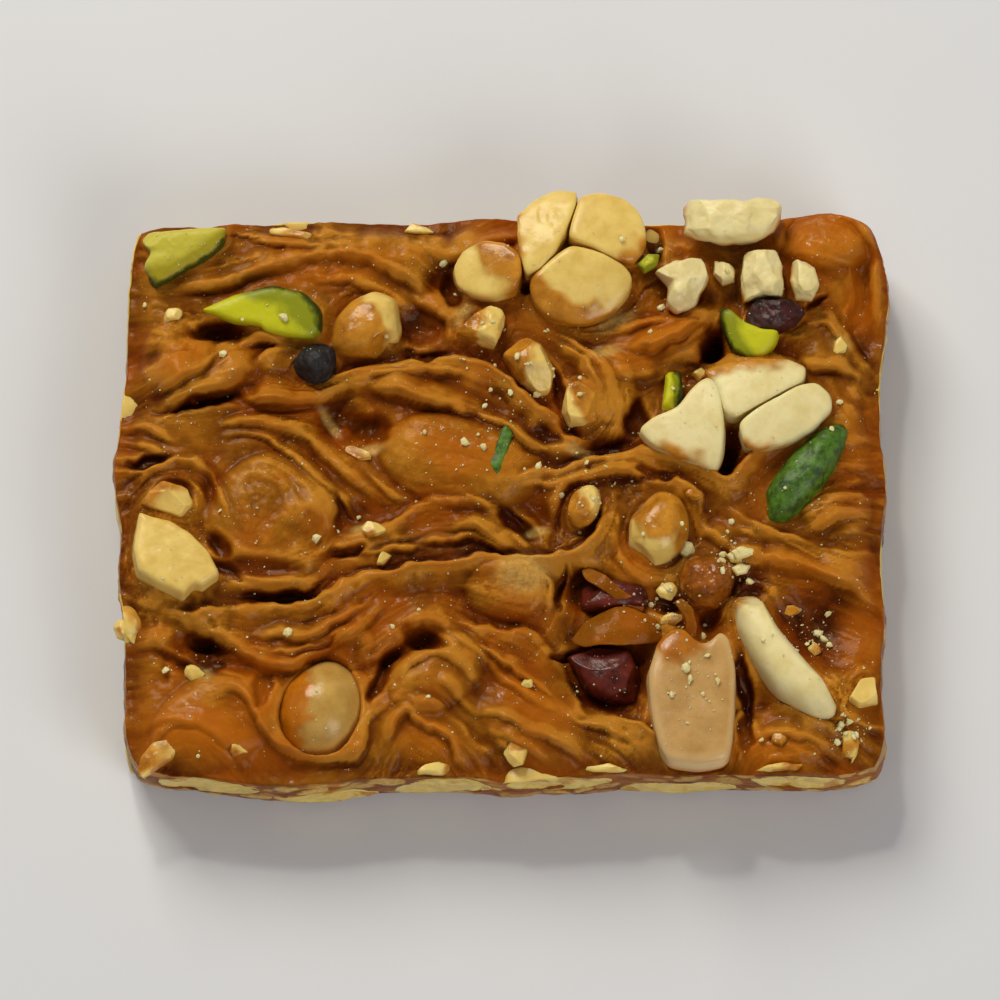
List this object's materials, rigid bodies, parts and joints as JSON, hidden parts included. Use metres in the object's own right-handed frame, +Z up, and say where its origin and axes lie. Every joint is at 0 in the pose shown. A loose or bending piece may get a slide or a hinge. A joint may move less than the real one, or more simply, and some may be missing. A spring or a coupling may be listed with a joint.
{
  "type": "peanut gajak",
  "caption": "Flat cut piece of peanut brittle: a folded sugar slab holding split peanuts, pistachios and a dark seed.",
  "frame": {"origin": "centre of the underside, on the surface that the piece lies on", "axes": "+X along the long side, +Y towards the back edge, +Z up out of the folded top"},
  "size_m": [0.0645, 0.0497, 0.0124],
  "materials": {
    "caramel": "glossy pulled sugar, amber brown",
    "peanut": "cream peanut flesh, slightly oily",
    "peanut_white": "pale broken peanut flesh",
    "peanut_tan": "roasted tan peanut under a thin sugar film",
    "coated": "nut coated in red-brown sugar",
    "pistachio": "bright green cut pistachio",
    "pistachio_pale": "pale green cut pistachio",
    "pistachio_dark": "dark green pistachio skin",
    "seed": "black seed, satin",
    "red_skin": "dark red nut skin under sugar"
  },
  "bodies": {
    "root": {"caramel_slab": "caramel", "pistachio_wedge": "pistachio_pale", "pistachio_half": "pistachio", "pistachio_moon": "pistachio", "pistachio_sliver": "pistachio", "pistachio_whole": "pistachio_dark", "black_seed": "seed", "dark_bit": "red_skin", "red_nut_large": "red_skin", "red_nut_small": "red_skin", "coated_ball": "coated", "coated_half": "peanut", "cracked_peanut_left": "peanut", "cracked_peanut_top": "peanut", "cracked_peanut_right": "peanut", "cracked_peanut_front": "peanut", "yellow_bit": "peanut", "broken_film": "peanut", "broken_low": "peanut", "cream_shard": "peanut", "cream_shard_top": "peanut", "oval_bit": "peanut", "olive_nut": "peanut", "cream_edge_bit": "peanut", "white_block": "peanut_white", "white_fork": "peanut_white", "white_flake": "peanut_white", "white_chunk": "peanut_white", "white_strip": "peanut_white", "white_peanut_left": "peanut_white", "white_peanut_middle": "peanut_white", "white_peanut_right": "peanut_white", "peanut_half_curved": "peanut_white", "peanut_half_flat": "peanut_tan", "whole_peanut": "peanut_tan", "left_nut_1": "peanut", "left_nut_2": "peanut", "left_nut_3": "peanut", "left_nut_4": "peanut", "left_nut_5": "peanut", "right_nut_1": "peanut", "right_nut_2": "peanut", "right_nut_3": "peanut", "right_nut_4": "peanut", "right_nut_5": "peanut", "front_nut_1": "peanut", "front_nut_2": "peanut", "front_nut_3": "peanut", "front_nut_4": "peanut", "front_nut_5": "peanut", "front_nut_6": "peanut", "back_nut_1": "peanut", "back_nut_2": "peanut", "back_nut_3": "peanut", "back_nut_4": "peanut", "back_nut_5": "peanut", "back_nut_6": "peanut", "back_nut_7": "peanut"}
  },
  "joints": []
}
